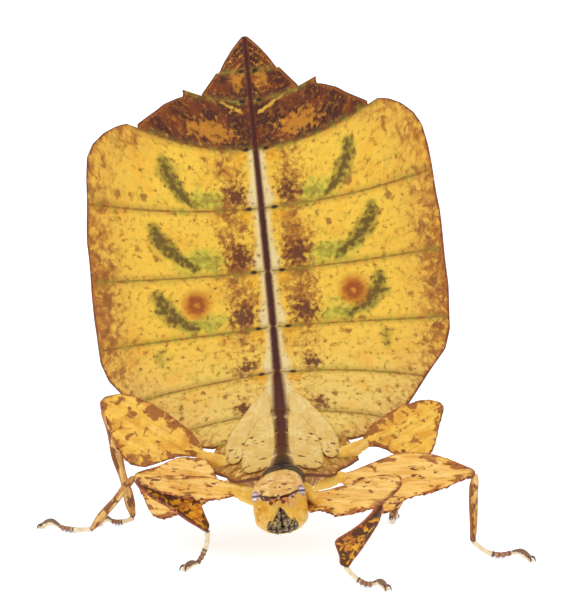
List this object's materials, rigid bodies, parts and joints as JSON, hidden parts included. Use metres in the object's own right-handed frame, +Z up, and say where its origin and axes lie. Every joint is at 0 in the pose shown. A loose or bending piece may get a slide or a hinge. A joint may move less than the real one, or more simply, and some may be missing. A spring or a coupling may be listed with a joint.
{
  "type": "leaf insect",
  "caption": "Leaf insect standing on leafy legs, its flat leaf-shaped abdomen curled up over its back, for display as a still, life-size animal model.",
  "frame": {"origin": "on the floor, under the middle of the bounding box", "axes": "-Y is the way the head faces, +X is the animal's left side, +Z is up"},
  "size_m": [0.0684, 0.0538, 0.0676],
  "materials": {
    "leaf_cuticle": "satin yellow, green and brown mottling, dark rim",
    "tail_cuticle": "satin red-brown with pale marks",
    "thorax_cuticle": "satin, mottled yellow and brown",
    "pronotum_cuticle": "matt dark grey-brown",
    "pad_cuticle": "matt cream with small dark specks",
    "head_cuticle": "satin pale yellow with dark dashes",
    "mouth_cuticle": "matt dark brown",
    "eye": "glossy lilac-grey with a dark band",
    "antenna_cuticle": "satin orange-brown",
    "femur_cuticle": "satin, striated yellow and brown, dark toothed edge",
    "tibia_cuticle": "satin orange-brown, dark spots",
    "tarsus_cuticle": "satin cream with dark brown bands"
  },
  "bodies": {
    "root": {"abdomen_segment_02": "leaf_cuticle", "abdomen_segment_03": "leaf_cuticle", "abdomen_segment_04": "leaf_cuticle", "abdomen_segment_05": "leaf_cuticle", "abdomen_segment_06": "leaf_cuticle", "abdomen_segment_07": "leaf_cuticle", "abdomen_segment_08": "tail_cuticle", "abdomen_segment_09": "tail_cuticle", "abdomen_segment_10": "tail_cuticle", "antenna_left": "antenna_cuticle", "antenna_right": "antenna_cuticle", "coxa_fore_left": "femur_cuticle", "coxa_fore_right": "femur_cuticle", "coxa_hind_left": "femur_cuticle", "coxa_hind_right": "femur_cuticle", "coxa_mid_left": "femur_cuticle", "coxa_mid_right": "femur_cuticle", "eye_left": "eye", "eye_right": "eye", "femur_fore_left": "femur_cuticle", "femur_fore_right": "femur_cuticle", "femur_hind_left": "femur_cuticle", "femur_hind_right": "femur_cuticle", "femur_mid_left": "femur_cuticle", "femur_mid_right": "femur_cuticle", "forewing_pad_left": "pad_cuticle", "forewing_pad_right": "pad_cuticle", "head": "head_cuticle", "hindwing_pad_left": "pad_cuticle", "hindwing_pad_right": "pad_cuticle", "mesothorax": "thorax_cuticle", "metathorax": "thorax_cuticle", "mouthparts": "mouth_cuticle", "palps_left": "mouth_cuticle", "palps_right": "mouth_cuticle", "prothorax": "pronotum_cuticle", "tarsus_fore_left": "tarsus_cuticle", "tarsus_fore_right": "tarsus_cuticle", "tarsus_hind_left": "tarsus_cuticle", "tarsus_hind_right": "tarsus_cuticle", "tarsus_mid_left": "tarsus_cuticle", "tarsus_mid_right": "tarsus_cuticle", "tibia_fore_left": "tibia_cuticle", "tibia_fore_right": "tibia_cuticle", "tibia_hind_left": "tibia_cuticle", "tibia_hind_right": "tibia_cuticle", "tibia_mid_left": "tibia_cuticle", "tibia_mid_right": "tibia_cuticle"}
  },
  "joints": []
}
